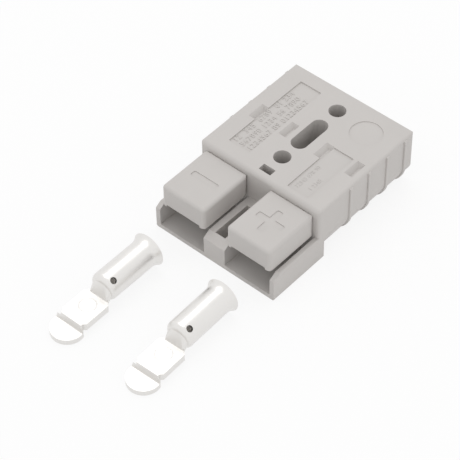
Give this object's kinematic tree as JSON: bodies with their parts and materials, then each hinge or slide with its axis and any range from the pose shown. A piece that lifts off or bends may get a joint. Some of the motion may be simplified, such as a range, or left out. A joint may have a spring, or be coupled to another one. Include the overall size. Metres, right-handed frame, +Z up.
{
  "type": "genderless power connector",
  "caption": "Grey rectangular genderless power connector housing with plus and minus hoods, side ribs and spring leaves, its loose silver crimp contacts lying before the mouth.",
  "frame": {"origin": "midway between the two screw holes, in the plane of the housing's underside", "axes": "+Z up out of the face with the pole signs, -Y out of the mating mouth, +Y the way the wires leave, +X towards the plus pole"},
  "size_m": [0.0358, 0.0889, 0.0157],
  "materials": {
    "housing_plastic": "moulded warm grey polycarbonate, fine matte texture",
    "spring_steel": "rolled stainless spring strip",
    "contact_metal": "silver-plated copper, bright satin"
  },
  "bodies": {
    "root": {"housing": "housing_plastic", "left_spring": "spring_steel", "right_spring": "spring_steel", "left_contact": "contact_metal", "right_contact": "contact_metal"}
  },
  "joints": []
}
